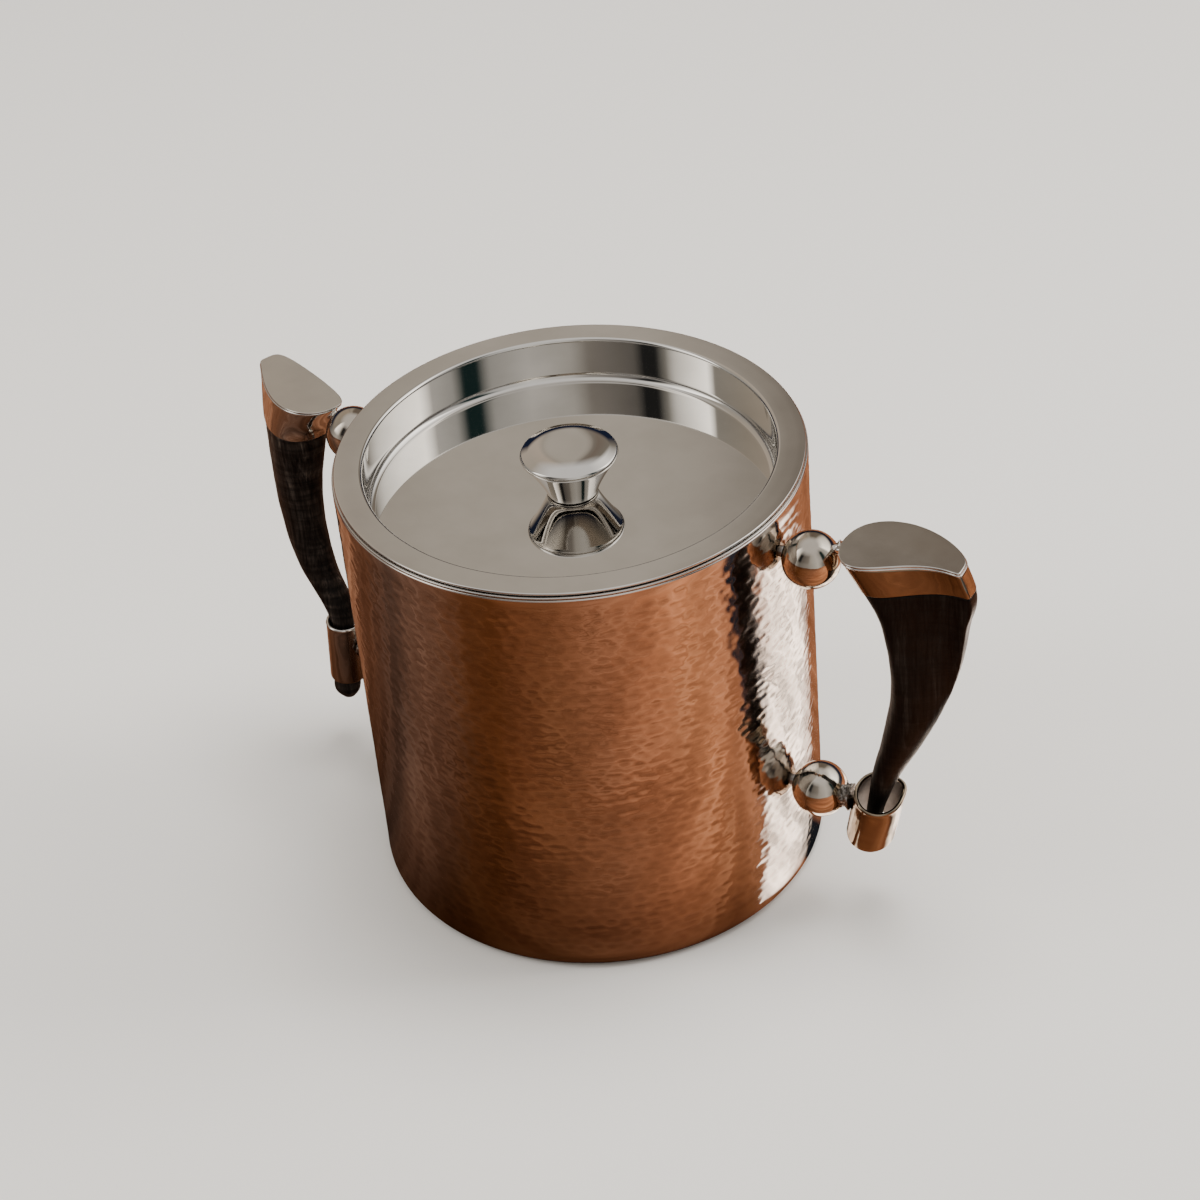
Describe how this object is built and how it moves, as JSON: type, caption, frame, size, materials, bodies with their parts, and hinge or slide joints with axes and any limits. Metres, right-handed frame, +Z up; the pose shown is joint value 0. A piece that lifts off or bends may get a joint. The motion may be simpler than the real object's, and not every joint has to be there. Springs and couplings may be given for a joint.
{
  "type": "ice bucket",
  "caption": "Double-walled hammered steel ice bucket with a flat drop-in lid, a flared knob and a curved horn handle on each side, held off the wall by steel balls.",
  "frame": {"origin": "centre of the flat underside of the bucket, on the table", "axes": "+Z up through the knob, +X through the handle whose horn ends inside its sleeve, -X through the handle whose horn tip shows below its sleeve"},
  "size_m": [0.3599, 0.2016, 0.2076],
  "materials": {
    "hammered_steel": "hammered and polished stainless steel",
    "liner_steel": "satin stainless steel",
    "polished_steel": "mirror polished stainless steel",
    "fastener_steel": "plain steel",
    "dark_horn": "satin dark horn"
  },
  "bodies": {
    "bucket": {"outer_shell": "hammered_steel", "inner_liner": "liner_steel", "right_cap_plate": "polished_steel", "right_cap_collar": "polished_steel", "right_horn_grip": "dark_horn", "right_horn_sleeve": "polished_steel", "right_upper_ball": "polished_steel", "right_lower_ball": "polished_steel", "right_upper_screw": "fastener_steel", "right_lower_screw": "fastener_steel", "right_upper_washer": "fastener_steel", "right_lower_washer": "fastener_steel", "left_cap_plate": "polished_steel", "left_cap_collar": "polished_steel", "left_horn_grip": "dark_horn", "left_horn_sleeve": "polished_steel", "left_upper_ball": "polished_steel", "left_lower_ball": "polished_steel", "left_upper_screw": "fastener_steel", "left_lower_screw": "fastener_steel", "left_upper_washer": "fastener_steel", "left_lower_washer": "fastener_steel"},
    "lid": {"lid_shell": "polished_steel", "knob": "polished_steel", "knob_screw": "fastener_steel", "knob_washer": "fastener_steel"}
  },
  "joints": [
    {"name": "lid_lift", "type": "slide", "parent": "bucket", "child": "lid", "axis": [0, 0, 1], "range_m": [0, 0.1]}
  ]
}
